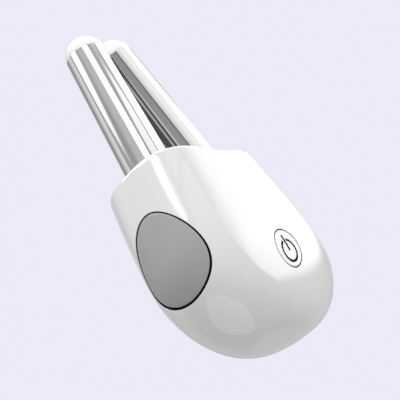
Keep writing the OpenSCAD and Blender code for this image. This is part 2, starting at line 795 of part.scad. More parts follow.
housing();
top_cover();
inner_frame();
frame_screws();
pivot_pin(-1);  // pivot_pin_left
pivot_pin(1);  // pivot_pin_right
main_board();
board_chips();
board_screws();
charging_socket();
socket_insert();
battery();
battery_tape();
battery_leads();
switch_board();
tact_switch();
switch_leads();
lever(-1);  // lever_left
lever(1);  // lever_right
probe_shaft(-1);  // probe_shaft_left
probe_shaft(1);  // probe_shaft_right
probe_cap(-1);  // probe_cap_left
probe_cap(1);  // probe_cap_right
lamp_board(-1);  // lamp_board_left
lamp_board(1);  // lamp_board_right
red_lamp(-1);  // red_lamp_left
red_lamp(1);  // red_lamp_right
lamp_leads(-1);  // lamp_leads_left
lamp_leads(1);  // lamp_leads_right
lever_spring(-1);  // lever_spring_left
lever_spring(1);  // lever_spring_right
pad_grip(-1);  // pad_grip_left
pad_grip(1);  // pad_grip_right
pad_carrier(-1);  // pad_carrier_left
pad_carrier(1);  // pad_carrier_right
power_button();
power_symbol();
switch_plunger();
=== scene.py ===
# %% [markdown]
# # A red light nasal device, dressed for its picture
#
# A pebble-shaped white housing carries two bright metal probes. A grey rubber pad on each
# side swings the probes apart, and a round button on the front switches the lights in
# their tips. The CAD model gives every piece its place, so this lesson loads it as a fixed
# frame and then models the pieces that show, finer than CAD needs.

import bpy, bmesh, math
import numpy as np
from mathutils import Matrix, Vector


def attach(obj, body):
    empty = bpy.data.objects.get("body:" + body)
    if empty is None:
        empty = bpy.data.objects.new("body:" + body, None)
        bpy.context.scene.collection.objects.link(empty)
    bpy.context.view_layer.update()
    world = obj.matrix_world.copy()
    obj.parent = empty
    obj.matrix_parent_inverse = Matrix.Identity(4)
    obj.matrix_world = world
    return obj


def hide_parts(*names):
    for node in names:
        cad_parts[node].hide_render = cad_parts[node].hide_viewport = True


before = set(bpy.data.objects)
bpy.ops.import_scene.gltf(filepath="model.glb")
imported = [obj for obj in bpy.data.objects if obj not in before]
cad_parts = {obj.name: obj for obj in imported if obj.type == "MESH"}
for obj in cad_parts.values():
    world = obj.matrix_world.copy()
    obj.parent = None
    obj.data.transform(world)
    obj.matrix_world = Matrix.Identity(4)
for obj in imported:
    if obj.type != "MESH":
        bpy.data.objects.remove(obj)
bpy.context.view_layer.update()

# %% [markdown]
# ## Working habits
#
# An operator acts on everything that is selected, and the loaded CAD nodes come in
# selected. So each step first lets go of everything and then picks one object. Sizes are
# in millimetres, as on a drawing, and turned into metres where points are placed.

# %% Selection and placing
MM = 0.001


def let_go():
    if bpy.context.object and bpy.context.object.mode != "OBJECT":
        bpy.ops.object.mode_set(mode="OBJECT")
    bpy.ops.object.select_all(action="DESELECT")


def pick(piece):
    let_go()
    piece.select_set(True)
    bpy.context.view_layer.objects.active = piece
    return piece


def settle(piece, place=None):
    """Bakes the place into the mesh, so that the object itself stays at the origin."""
    pick(piece)
    if place is not None:
        piece.matrix_world = place
    bpy.ops.object.transform_apply(location=True, rotation=True, scale=True)
    return piece


def smooth(piece, degrees=30):
    pick(piece)
    bpy.ops.object.shade_smooth_by_angle(angle=math.radians(degrees))


def named(name):
    """Picks the object that an operator has just added, and names it."""
    piece = pick(bpy.context.object)
    piece.name = piece.data.name = name
    return piece


def edit_all(piece):
    pick(piece)
    bpy.ops.object.mode_set(mode="EDIT")
    bpy.ops.mesh.select_all(action="SELECT")


def face_outwards(piece):
    edit_all(piece)
    bpy.ops.mesh.normals_make_consistent(inside=False)
    bpy.ops.object.mode_set(mode="OBJECT")


def tell(piece):
    spots = np.array([v.co for v in piece.data.vertices])
    size = (spots.max(axis=0) - spots.min(axis=0)) / MM
    print(piece.name, "size in mm", [round(float(s), 2) for s in size], "faces", len(piece.data.polygons))


let_go()

# %% [markdown]
# ## The camera
#
# The photograph looks at the device from below and from its front left, with a long lens
# that hardly narrows the far end. The camera comes first, because its view decides which
# faces need the most care.

# %% Camera
lens_data = bpy.data.cameras.new("photo_camera")
lens_data.lens = 182.283
lens_data.sensor_width = 36
lens_data.clip_start = 0.01
lens_data.clip_end = 20
camera = bpy.data.objects.new("photo_camera", lens_data)
camera.location = (-0.281397, -0.148801, -0.106548)
camera.rotation_euler = [math.radians(a) for a in (117.07228, 30.90308, -47.55276)]
bpy.context.scene.collection.objects.link(camera)
bpy.context.scene.camera = camera
print("camera at", [round(v, 3) for v in camera.location])

# %% [markdown]
# ## The shape of the housing's skin
#
# The housing is egg-shaped from the side and a soft oval from above. Its width, and its
# depth to the front and to the back, each follow a curve of the height. An oval with a
# power above 2 has fuller corners than an ellipse. Gloss shows every small change of
# slope, so each curve is eased where its two halves meet.

# %% Width, depth and section of the skin
FOOT_FLAT = 0.6
RIM_Z, RIM_HALF, RIM_DIP = 34.3, 14.9, 1.8
RIM_WAVE, WAVE_TOP = 0.25, 0.62
MIDDLE_Z = 16.8
WALL = 1.6
WIDE = dict(middle=21.0, rim=RIM_HALF, at=12.9, curve=2.08)
FRONT = dict(middle=10.4, rim=9.6, at=MIDDLE_Z, curve=1.95)
BACK = dict(middle=11.0, rim=9.6, at=11.8, curve=3.2)


def plain_size(z, inset, middle, rim, at, curve):
    pole, m, r = inset - FOOT_FLAT, middle - inset, rim - inset
    if z < at:
        t = min(1.0, (at - z) / (at - pole))
        return m * max(0.0, 1 - t ** curve) ** (1 / curve)
    return m + (r - m) * ((z - at) / (RIM_Z - at)) ** 1.25


def eased_size(z, inset, shape):
    """The plain curve, with a smooth bridge over the place where its halves meet."""
    a, b, e = shape["at"] - 3.5, shape["at"] + 5.0, 0.02
    if z <= a or z >= b:
        return plain_size(z, inset, **shape)
    h, t = b - a, (z - a) / (b - a)

    def end(q, step):
        """Size, slope and bend of the plain curve, taken on one side of q."""
        size, near, far = (plain_size(q + k * step, inset, **shape) for k in range(3))
        return size, (near - size) / step * h, (far - 2 * near + size) / step ** 2 * h * h

    (p0, v0, w0), (p1, v1, w1) = end(a, -e), end(b, e)
    d, dv, dw = p1 - p0 - v0 - w0 / 2, v1 - v0 - w0, w1 - w0
    return (p0 + v0 * t + w0 / 2 * t ** 2 + (10 * d - 4 * dv + dw / 2) * t ** 3
            + (-15 * d + 7 * dv - dw) * t ** 4 + (6 * d - 3 * dv + dw / 2) * t ** 5)


def section(z, inset):
    power = 2.03 + 0.92 * max(0.0, min(1.0, z / RIM_Z))
    return *(eased_size(z, inset, shape) for shape in (WIDE, FRONT, BACK)), power


def arc_height(share, power):
    return max(0.0, 1 - abs(share) ** power) ** (1 / power)


def skin_x(y, z, inset):
    width, front, back, power = section(z, inset)
    return width * arc_height(y / (front if y < 0 else back), power)


def back_y(x, z, inset):
    width, _, back, power = section(z, inset)
    return back * arc_height(x / width, power)


def rim_height(x):
    """The rim dips in the middle of the front and back, and rises in a soft wave beside it."""
    radius = (RIM_HALF ** 2 + RIM_DIP ** 2) / (2 * RIM_DIP)
    plain = RIM_Z - RIM_DIP + radius - math.sqrt(radius ** 2 - min(abs(x), RIM_HALF) ** 2)
    t = min(abs(x) / RIM_HALF, 1)
    if t < WAVE_TOP:
        return plain - RIM_WAVE * math.cos(math.pi * t / WAVE_TOP)
    return plain + RIM_WAVE * (1 + math.cos(math.pi * (t - WAVE_TOP) / (1 - WAVE_TOP))) / 2


print("half width of the skin at its widest, in mm:", round(skin_x(0, WIDE["at"], 0), 3))

# %% [markdown]
# ## Points round one ring
#
# Equal steps of the angle would crowd the points where the oval bends and leave the flat
# sides coarse. So each quarter is measured along its own curve and shared out evenly,
# which gives the gloss an even net to run over.

# %% Even spacing round a ring
QUARTER = 48
ROUND = 4 * QUARTER
FINE_STEPS = 1500


def even_turns(width, front, back, power):
    """Turns round a ring, one for each column, with equal steps along the curve."""
    turns = []
    for quarter in range(4):
        depth = back if quarter < 2 else front
        t = np.linspace(0, math.pi / 2, FINE_STEPS)
        x, y = width * np.cos(t) ** (2 / power), depth * np.sin(t) ** (2 / power)
        if quarter % 2:
            x, y = x[::-1], y[::-1]
        along = np.concatenate([[0], np.cumsum(np.hypot(np.diff(x), np.diff(y)))])
        shares = np.interp(np.arange(QUARTER) / QUARTER * along[-1], along, t)
        turns.extend(quarter * math.pi / 2 + shares)
    return turns


def ring_point(turn, z, inset):
    width, front, back, power = section(z, inset)
    c, s = math.cos(turn), math.sin(turn)
    x = width * math.copysign(abs(c) ** (2 / power), c)
    y = (back if s > 0 else front) * math.copysign(abs(s) ** (2 / power), s)
    return x, y


print("columns round the housing:", ROUND)

# %% [markdown]
# ## Rows of the shell, from the foot up and back down inside
#
# The housing is a moulded shell, so its surface runs up the outside, over the rounded rim
# and down the inside. A sphere has the same layout, one closed net from pole to pole. Its
# rows are planned here. The foot is blended so that no edge shows from below, and the
# upper rows bend gradually into the dip and the wave of the rim.

# %% Plan the rows
LOW_ROWS, HIGH_ROWS = 36, 32
RIM_ROUND, INNER_ROUND = 0.7, 0.25


def blended_foot(z, floor, blend=0.6):
    h = max(blend - abs(z - floor), 0) / blend
    return max(z, floor) + h * h * blend / 4


def skin_rows(inset, rim_gap):
    """Rows of one skin from the foot's pole up to rim_gap below the rim."""
    pole, floor = inset - FOOT_FLAT, (0 if inset == 0 else inset)
    rows = []
    for k in range(1, LOW_ROWS + 1):
        z = pole + (MIDDLE_Z - pole) * (1 - math.cos(math.pi / 2 * k / LOW_ROWS))
        turns = even_turns(*section(z, inset))
        rows.append([(*ring_point(t, z, inset), blended_foot(z, floor)) for t in turns])
    for k in range(1, HIGH_ROWS + 1):
        s = k / HIGH_ROWS
        flat = MIDDLE_Z + (RIM_Z - rim_gap - MIDDLE_Z) * s
        share = max(0.0, (s - 0.3) / 0.7)
        share = share * share * (3 - 2 * share)
        row = []
        for t in even_turns(*section(flat, inset)):
            z = flat
            for _ in range(3):
                z = flat + (rim_height(ring_point(t, z, inset)[0]) - RIM_Z) * share
            row.append((*ring_point(t, z, inset), z))
        rows.append(row)
    return rows


def rim_row(inset, drop):
    """One row near the top of the rim, drop below it and inset from the outer skin."""
    row = []
    for t in even_turns(*section(RIM_Z - 1, inset)):
        x = ring_point(t, RIM_Z - 1, inset)[0]
        for _ in range(2):
            z = rim_height(x) - drop
            x = ring_point(t, z, inset)[0]
        row.append((*ring_point(t, z, inset), z))
    return row


outside = skin_rows(0, RIM_ROUND)
inside = skin_rows(WALL, INNER_ROUND)
over = [rim_row(RIM_ROUND * (1 - math.cos(a)), RIM_ROUND * (1 - math.sin(a)))
        for a in [math.pi / 2 * k / 7 for k in range(1, 8)]]
over += [rim_row(v, 0) for v in (0.95, 1.15)]
over += [rim_row(WALL - INNER_ROUND * (1 - math.sin(a)), INNER_ROUND * (1 - math.cos(a)))
         for a in [math.pi / 2 * k / 4 for k in range(0, 4)]]
shell_rows = outside + over + inside[::-1]
print("rows:", len(outside), "outside,", len(over), "over the rim,", len(inside), "inside")

# %% [markdown]
# ## Wrap a sphere round the rows
#
# The sphere is added at about the housing's size, and each of its points is then set on
# the planned row and column. The row and column stay on the points as numbers, which
# later makes it easy to pick out a patch for a window.

# %% Net from a sphere
BALL = 0.02


def wrapped(name, rows, low_pole, high_pole):
    """A sphere's net set on rows that run from its lower pole to its upper pole."""
    let_go()
    columns, count = len(rows[0]), len(rows)
    bpy.ops.mesh.primitive_uv_sphere_add(segments=columns, ring_count=count + 1, radius=BALL)
    piece = named(name)
    mesh = piece.data
    ring = mesh.attributes.new("ring", "INT", "POINT")
    column = mesh.attributes.new("column", "INT", "POINT")
    for v in mesh.vertices:
        up = math.acos(max(-1, min(1, v.co.z / BALL)))
        i = count - round(up / math.pi * (count + 1))
        j = round(math.atan2(v.co.y, v.co.x) / (2 * math.pi) * columns) % columns
        ring.data[v.index].value, column.data[v.index].value = i, j
        spot = low_pole if i < 0 else high_pole if i >= count else rows[i][j]
        v.co = Vector(spot) * MM
    return piece


shell = wrapped("housing_shell", shell_rows, (0, 0, 0), (0, 0, WALL))
tell(shell)

# %% [markdown]
# ## Windows in the shell
#
# The pads, the button and the charging socket each need an opening. A boolean cut leaves
# long thin faces round the edge, and they show in a glossy wall. Here a patch of faces is
# deleted instead, and its border is extruded in steps until it lies on the opening's
# outline, each step set on the skin. The outer and inner borders are then bridged.

# %% Borders drawn in to an outline
def polar_outline(points):
    """Radius of a closed outline in each direction from its middle."""
    turn = np.array([math.atan2(v, u) for u, v in points])
    far = np.array([math.hypot(u, v) for u, v in points])
    order = np.argsort(turn)
    turn, far = turn[order], far[order]
    turn = np.concatenate([turn[-1:] - 2 * math.pi, turn, turn[:1] + 2 * math.pi])
    far = np.concatenate([far[-1:], far, far[:1]])
    return lambda a: float(np.interp(a, turn, far))


def select_border(piece):
    """Selects the open border, without what is hidden, and gives its edges."""
    bpy.ops.mesh.select_all(action="DESELECT")
    edges = [e for e in bmesh.from_edit_mesh(piece.data).edges if e.is_boundary and not e.hide]
    for e in edges:
        e.select_set(True)
    bmesh.update_edit_mesh(piece.data)
    return edges


def shrink_border(piece, flat, steps):
    """Extrudes the open border once for each step. A step gives (target radius, share, depth)."""
    start = {}
    for v in {v for e in select_border(piece) for v in e.verts}:
        u, w = flat["to"](v.co / MM)
        start[round(math.atan2(w, u), 5)] = math.hypot(u, w)
    keys = np.array(sorted(start))
    for outline, share, depth in steps:
        bpy.ops.mesh.extrude_region_move()
        mesh = bmesh.from_edit_mesh(piece.data)
        for v in [v for v in mesh.verts if v.select]:
            u, w = flat["to"](v.co / MM)
            a = math.atan2(w, u)
            near = start[keys[int(np.argmin(np.abs(keys - a)))]]
            r = near + (outline(a) - near) * share
            v.co = Vector(flat["on"](r * math.cos(a), r * math.sin(a), depth)) * MM
        bmesh.update_edit_mesh(piece.data)


print("openings go into a net of", len(shell_rows), "rows and", ROUND, "columns")

# %% [markdown]
# ## One opening
#
# The same patch is taken out of the outer and the inner skin. The outer border is drawn in
# over seven steps, eased so that the new faces stay even, and then round the edge in four.
# The border that is done is hidden while the other one is worked on.

# %% Cut one opening
def open_window(piece, middle, reach, ring_range, plane, outline, edge):
    """Deletes a patch on both skins and draws both borders in to the outline."""
    first, last = ring_range
    top = len(shell_rows) - 1
    half = ROUND // 2
    pick(piece)
    bpy.ops.object.mode_set(mode="EDIT")
    for low, high, inset in ((first, last, 0), (top - last, top - first, WALL)):
        mesh = bmesh.from_edit_mesh(piece.data)
        ring, column = mesh.verts.layers.int["ring"], mesh.verts.layers.int["column"]
        bpy.ops.mesh.select_mode(type="FACE")
        bpy.ops.mesh.select_all(action="DESELECT")
        for f in mesh.faces:
            if all(low <= v[ring] <= high and abs((v[column] - middle + half) % ROUND - half) <= reach
                   for v in f.verts):
                f.select_set(True)
        bmesh.update_edit_mesh(piece.data)
        bpy.ops.mesh.delete(type="FACE")
        bpy.ops.mesh.select_mode(type="EDGE")
        if inset:
            steps = [(polar_outline(outline(0)), k / 2, 0) for k in (1, 2)]
        else:
            wide = polar_outline(outline(edge))
            steps = [(wide, 1 - (1 - k / 7) ** 1.7, 0) for k in range(1, 8)]
            for k in range(1, 5):
                a = math.pi / 2 * k / 4
                steps.append((polar_outline(outline(edge * (1 - math.sin(a)))), 1, edge * (1 - math.cos(a))))
        shrink_border(piece, plane(inset), steps)
        if not inset:
            bpy.ops.mesh.hide(unselected=False)
    bpy.ops.mesh.reveal(select=False)
    select_border(piece)
    bpy.ops.mesh.bridge_edge_loops()
    bpy.ops.object.mode_set(mode="OBJECT")


print("an opening goes through", WALL, "mm of wall")

# %% [markdown]
# ## Four openings
#
# The pads are egg-shaped in side view, widest below their middle, with a gap of 0.3 mm all
# round. The button sits in a round hole that is square to the sloping front, and the
# charging socket is a slot at the back. Each outline can grow or shrink by a clearance.

# %% Outlines of the openings
PAD_Z, PAD_UP, PAD_DOWN, PAD_HALF, PAD_EGG = 15.8, 8.9, 8.5, 6.5, 0.165
WINDOW_GROW, PAD_GROW, PAD_SHIFT, PAD_DEEP = 0.06, -0.25, (-0.12, 0.06), 1.8
HOLE_R, BUTTON_R = 3.56, 3.37
BUTTON_SPOT = Vector((0, -9.662, 10.6))
BUTTON_OUT = Vector((0, -0.9721781, -0.2342429))
BUTTON_UP = Vector((0, -0.2342429, 0.9721781))
SOCKET_Z, SOCKET_WIDE, SOCKET_TALL, SOCKET_GAP = 9.8, 8.94, 3.26, 0.18


def egg_point(turn, grow, share=1.0):
    """A place on the pad's outline, as (y, z)."""
    up = PAD_UP if math.sin(turn) > 0 else PAD_DOWN
    return ((PAD_HALF * (1 - PAD_EGG * math.sin(turn)) + grow) * math.cos(turn) * share,
            PAD_Z + (up + grow) * math.sin(turn) * share)


def whole_circle(steps=240):
    return [2 * math.pi * k / steps for k in range(steps)]


def pad_outline(grow):
    return [(y, z - PAD_Z) for y, z in (egg_point(t, grow) for t in whole_circle())]


def round_outline(radius):
    return [(radius * math.cos(t), radius * math.sin(t)) for t in whole_circle()]


def slot_outline(grow):
    half, r = (SOCKET_WIDE - SOCKET_TALL) / 2, SOCKET_TALL / 2 + SOCKET_GAP + grow
    ends = [(half + r * math.cos(t), r * math.sin(t)) for t in np.linspace(-math.pi / 2, math.pi / 2, 80)]
    flats = [(x, s * r) for x in np.linspace(-half, half, 60) for s in (-1, 1)]
    return ends + [(-u, v) for u, v in ends] + flats


print("pad window, height in mm:", round(PAD_UP + PAD_DOWN + 2 * WINDOW_GROW, 2))

# %% [markdown]
# ## Where the outlines lie
#
# A border is drawn in on a flat plane, so each opening needs a way to and from it: from a
# place on the skin to two numbers on the plane, and back onto the skin. Only the button's
# plane is tilted, and there the skin is found by halving the distance again and again.

# %% Planes and cuts
def side_face(side, inset):
    return {"to": lambda p: (p.y, p.z - PAD_Z),
            "on": lambda u, w, depth: (side * (skin_x(u, w + PAD_Z, inset) - depth), u, w + PAD_Z)}


def beyond(p, inset):
    """More than 0 outside the skin, less than 0 inside it."""
    width, front, back, power = section(p.z, inset)
    return (abs(p.x) / width) ** power + (abs(p.y) / (front if p.y < 0 else back)) ** power - 1


def on_front(u, w, depth, inset):
    spot = BUTTON_SPOT + Vector((u, 0, 0)) + BUTTON_UP * w
    low, high = -4.0, 2.0
    for _ in range(26):
        middle = (low + high) / 2
        low, high = (low, middle) if beyond(spot + BUTTON_OUT * middle, inset) > 0 else (middle, high)
    return spot + BUTTON_OUT * (low - depth)


def front_face(inset):
    return {"to": lambda p: (p.x, (p - BUTTON_SPOT).dot(BUTTON_UP)),
            "on": lambda u, w, depth: on_front(u, w, depth, inset)}


def back_face(inset):
    return {"to": lambda p: (p.x, p.z - SOCKET_Z),
            "on": lambda u, w, depth: (u, back_y(u, w + SOCKET_Z, inset) - depth, w + SOCKET_Z)}


def rows_between(column, low, high):
    heights = [row[column][2] for row in outside]
    return min(i for i, z in enumerate(heights) if z > low), max(i for i, z in enumerate(heights) if z < high)


for side, middle in ((1, 0), (-1, ROUND // 2)):
    open_window(shell, middle, 20, rows_between(middle, 5.6, 26.2), lambda inset: side_face(side, inset),
                lambda g: pad_outline(WINDOW_GROW + g), 0.10)
front_column, back_column = 3 * QUARTER, QUARTER
open_window(shell, front_column, 11, rows_between(front_column, 5.6, 15.9), front_face,
            lambda g: round_outline(HOLE_R + g), 0.07)
open_window(shell, back_column, 13, rows_between(back_column, 6.4, 13.4), back_face, slot_outline, 0.15)
face_outwards(shell)
smooth(shell, 35)
tell(shell)

# %% [markdown]
# ## Turned pieces
#
# Probes, caps and the button are round, so each is one outline spun about its axis. The
# outline is a circle of points set on a drawn section. Its corners are rounded off,
# because a sharp corner never catches a line of light.

# %% Draw a section and spin it
SAME_SPOT = 0.0000005


def rounded_section(corners, steps=5):
    """Closed outline from (r, z, rounding) corners."""
    points = []
    for k, (x, y, r) in enumerate(corners):
        spot = Vector((x, y))
        before, after = Vector(corners[k - 1][:2]), Vector(corners[(k + 1) % len(corners)][:2])
        a, b = (before - spot).normalized(), (after - spot).normalized()
        turn = a.angle(b)
        if r <= 0 or turn > math.pi - 0.05:
            points.append(spot)
            continue
        run = r / math.tan(turn / 2)
        middle = spot + (a + b).normalized() * (r / math.sin(turn / 2))
        start, end = spot + a * run - middle, spot + b * run - middle
        swing = start.angle_signed(end)
        points += [middle + Matrix.Rotation(-swing * s / steps, 2) @ start for s in range(steps + 1)]
    return points


def spin_up(piece, steps, angle):
    """Spins the piece's outline about the upright axis and closes the seam."""
    edit_all(piece)
    bpy.ops.mesh.spin(steps=steps, angle=angle, center=(0, 0, 0), axis=(0, 0, 1))
    bpy.ops.mesh.select_all(action="SELECT")
    bpy.ops.mesh.remove_doubles(threshold=SAME_SPOT)
    face_outwards(piece)


def turned(name, corners, steps=128, place=None):
    outline = rounded_section(corners)
    let_go()
    bpy.ops.mesh.primitive_circle_add(vertices=len(outline), radius=0.002, fill_type="NOTHING")
    piece = named(name)
    for v, p in zip(piece.data.vertices, outline):
        v.co = Vector((max(p.x, 0.0), 0, p.y)) * MM
    spin_up(piece, steps, 2 * math.pi)
    settle(piece, place)
    smooth(piece, 32)
    return piece


def twin(piece, name):
    """A copy on the other side, with a mesh of its own."""
    pick(piece)
    bpy.ops.object.duplicate(linked=False)
    copy = pick(bpy.context.object)
    copy.name = copy.data.name = name
    copy.data.transform(Matrix.Scale(-1, 4, (1, 0, 0)))
    copy.data.flip_normals()
    return copy


print("a turned piece is spun in 128 steps or more, and points closer than", SAME_SPOT / MM, "mm are merged")

# %% [markdown]
# ## The probes
#
# Each probe is a plated tube that narrows a little towards its tip, with a seat for the
# light. A closed cap of milky plastic ends it, and only a fine joint shows between. A few
# extra rings near the ends keep the rounding's slope from leaking down the whole side,
# which would slant every stripe that the tube mirrors.

# %% Probe tubes and caps
PIVOT = Vector((8.54734, 0, 27.2))
LEAN = math.radians(7.6)
FOOT_REACH, SEAT_REACH, CAP_REACH = 3.3, 30.963, 34.863
on_probe = Matrix.Translation(PIVOT * MM) @ Matrix.Rotation(-LEAN, 4, "Y")

FOOT_R, TIP_R, BORE_R, SEAT_R, HOLLOW_R = 4.386, 3.68, 2.7, 3.05, 2.88
tube_end = CAP_REACH - 0.02
side = [(FOOT_R + (TIP_R - FOOT_R) * t, FOOT_REACH + (tube_end - FOOT_REACH) * t, 0)
        for t in (0.01, 0.03, 0.25, 0.5, 0.75, 0.97, 0.99, 0.996)]
tube_right = turned("probe_tube_right", [
    (BORE_R, FOOT_REACH, 0.1), (FOOT_R, FOOT_REACH, 0.15), *side, (TIP_R, tube_end, 0.07),
    (SEAT_R, tube_end, 0.05), (SEAT_R, SEAT_REACH, 0), (BORE_R, SEAT_REACH, 0.05)], 256, on_probe)
tube_left = twin(tube_right, "probe_tube_left")

dome = [(TIP_R * math.cos(a), CAP_REACH + TIP_R * math.sin(a), 0) for a in np.linspace(0.03, math.pi / 2, 28)]
hollow = [(HOLLOW_R * math.cos(a), CAP_REACH + HOLLOW_R * math.sin(a), 0)
          for a in np.linspace(math.pi / 2, 0.45, 14)]
collar_foot = SEAT_REACH + 0.9
cap_right = turned("probe_dome_right", [
    (3.01, collar_foot, 0.1), (3.01, CAP_REACH, 0), (3.62, CAP_REACH, 0), *dome[:-1], (0, CAP_REACH + TIP_R, 0),
    (0, CAP_REACH + HOLLOW_R, 0), *hollow[1:], (2.21, CAP_REACH + 0.6, 0), (2.21, collar_foot, 0.1)],
    place=on_probe)
cap_left = twin(cap_right, "probe_dome_left")
for piece in (tube_right, tube_left, cap_right, cap_left):
    tell(piece)

# %% [markdown]
# ## The rubber pads
#
# A pad carries on the line of the housing, so its face is a piece of the same skin. Its
# net is again a wrapped sphere: from the middle of the back, out and over the rounded
# edge, and in to the middle of the face. It sits a little nearer to the front edge of its
# window.

# %% Side pads
def pad_rows(columns=144, edge=0.28):
    def ring(share, grow, sink, inset):
        points = []
        for k in range(columns):
            y, z = egg_point(2 * math.pi * k / columns, PAD_GROW + grow, share)
            y, z = y + PAD_SHIFT[0], z + PAD_SHIFT[1]
            points.append((skin_x(y, z, inset) - sink, y, z))
        return points
    rows = [ring(k / 9, 0, 0, PAD_DEEP) for k in range(1, 10)]
    rows += [ring(1, 0, 1.2, 0), ring(1, 0, 0.6, 0)]
    rows += [ring(1, -edge * (1 - math.cos(a)), edge * (1 - math.sin(a)), 0)
             for a in [math.pi / 2 * k / 5 for k in range(6)]]
    rows += [ring(1 - k / 20, -edge * (1 - k / 20), 0, 0) for k in range(1, 20)]
    return rows


pad_right = wrapped("pad_face_right", pad_rows(),
                    (skin_x(0, PAD_Z, PAD_DEEP), 0, PAD_Z), (skin_x(0, PAD_Z, 0), 0, PAD_Z))
face_outwards(pad_right)
smooth(pad_right, 40)
pad_left = twin(pad_right, "pad_face_left")
tell(pad_left)

# %% [markdown]
# ## The black lip round each pad
#
# The dark line round a pad is partly the black carrier and partly painted shade. A thin
# black lip stands up round the pad, a little below the face, and leaves only a hair of air,
# so the gap shows black where it would lie in shade. A torus has the right net for it: it
# is set on the egg's outline, with a small square section.

# %% Lips and button ring
RING_R = 0.01


def lip(name, outline_point, section_points, around=144):
    """A closed ring whose section is a list of (grow, sink) corners."""
    let_go()
    bpy.ops.mesh.primitive_torus_add(major_segments=around, minor_segments=len(section_points),
                                     major_radius=RING_R, minor_radius=0.002)
    piece = named(name)
    for v in piece.data.vertices:
        turn = math.atan2(v.co.y, v.co.x)
        small = math.atan2(v.co.z, math.hypot(v.co.x, v.co.y) - RING_R)
        k = round(small / (2 * math.pi) * len(section_points)) % len(section_points)
        v.co = Vector(outline_point(turn, *section_points[k])) * MM
    face_outwards(piece)
    smooth(piece)
    return piece


def on_pad_line(turn, grow, sink):
    y, z = egg_point(turn, grow)
    return skin_x(y, z, 0) - sink, y, z


# the black lip fills the gap up to just below the pad's face: painted shade along the outline
lip_right = lip("pad_lip_right", on_pad_line, [
    (-0.02, 1.0), (-0.02, 0.16), (-0.04, 0.12), (-0.22, 0.12),
    (-0.3, 0.2), (-0.3, 1.75), (-0.2, PAD_DEEP), (-0.02, PAD_DEEP)])
lip_left = twin(lip_right, "pad_lip_left")
tell(lip_right)

# %% [markdown]
# ## The button
#
# The button is turned like the probes, with its flange and stud behind the wall. Its face
# follows the front of the housing, so the face is then pressed onto the skin, point by
# point. The ring and stroke on it is the sign that every switch of this kind carries.

# %% Power button
on_button = Matrix((
    (1, 0, 0, 0), (0, BUTTON_UP.y, BUTTON_OUT.y, BUTTON_SPOT.y * MM),
    (0, BUTTON_UP.z, BUTTON_OUT.z, BUTTON_SPOT.z * MM), (0, 0, 0, 1)))


def skin_drop(u, w):
    """How far the skin lies below the button's flat plane at a place on it."""
    return (on_front(u, w, 0, 0) - BUTTON_SPOT).dot(BUTTON_OUT)


def press_on(piece):
    """Lays the piece's face onto the skin, point by point, and puts the piece in its place."""
    for v in piece.data.vertices:
        u, w, h = v.co / MM
        if h > -0.5:
            v.co.z = (h + skin_drop(u, w) - FACE_SINK) * MM
    settle(piece, on_button)


FACE_SINK = 0.02
stud_end = -4.24
button = turned("button_face", [
    (0, stud_end, 0), (1.2, stud_end, 0.1), (1.2, -2.95, 0), (4.55, -2.95, 0.1), (4.55, -2.15, 0.1),
    (BUTTON_R, -2.15, 0), (BUTTON_R, 0, 0.14)] + [(r, 0, 0) for r in (3.2, 2.8, 2.4, 2.0, 1.6, 1.2, 0.8, 0.4, 0)])
press_on(button)
tell(button)


def on_button_line(turn, radius, sink):
    u, w = radius * math.cos(turn), radius * math.sin(turn)
    return (u, w, skin_drop(u, w) - sink)


# a black ring fills the gap round the button up to just below its face: painted shade along the button's outline
ring = lip("button_shade_ring", on_button_line, [
    (HOLE_R - 0.03, 0.5), (HOLE_R - 0.03, 0.12), (HOLE_R - 0.05, 0.09), (BUTTON_R + 0.01, 0.09),
    (BUTTON_R - 0.02, 0.12), (BUTTON_R - 0.02, 0.8), (BUTTON_R, 0.9), (HOLE_R - 0.03, 0.9)], 128)
settle(ring, on_button)
tell(ring)

# %% [markdown]
# ## The sign on the button
#
# The sign is printed in black: a ring with a narrow opening at the top, and a stroke that
# runs out through it. A small square is spun through the arc, and a thin bar makes the
# stroke. As on the photograph, the sign sits a little low on the button and leans to its
# left.

# %% Ring and stroke
SIGN_R, SIGN_LINE, OPENING, SIGN_TURN, SIGN_DROP = 1.94, 0.47, 16, 15, 0.46


def block(size, spot):
    """A box of the given size with its middle at the spot, in edit mode and all selected."""
    let_go()
    bpy.ops.mesh.primitive_cube_add(size=MM)
    piece = pick(bpy.context.object)
    piece.scale = size
    piece.location = Vector(spot) * MM
    settle(piece)
    edit_all(piece)
    return piece


let_go()
bpy.ops.mesh.primitive_circle_add(vertices=4, radius=MM, fill_type="NGON")
arc = named("button_sign")
open_half = math.radians(OPENING)
start = math.pi / 2 + open_half
for v, (way, z) in zip(arc.data.vertices, [(-1, -0.18), (1, -0.18), (1, 0.012), (-1, 0.012)]):
    r = SIGN_R + way * SIGN_LINE / 2
    v.co = Vector((r * math.cos(start), r * math.sin(start), z)) * MM
spin_up(arc, 90, 2 * open_half - 2 * math.pi)
stroke = block((SIGN_LINE * 1.1, 2.95, 0.192), (0, 1.42, -0.084))
bpy.ops.mesh.subdivide(number_cuts=7)
pick(arc)
stroke.select_set(True)
bpy.ops.object.join()
sign = pick(bpy.context.object)
turn_and_drop = Matrix.Translation((0, -SIGN_DROP * MM, 0)) @ Matrix.Rotation(math.radians(SIGN_TURN), 4, "Z")
sign.data.transform(turn_and_drop)
press_on(sign)
smooth(sign)
tell(sign)

# %% [markdown]
# ## Inner ribs, posts and collar of the housing
#
# The moulding has two screw posts, two ribs and a collar behind the button. They hardly
# show, but they make the shell a real one in a cut view.

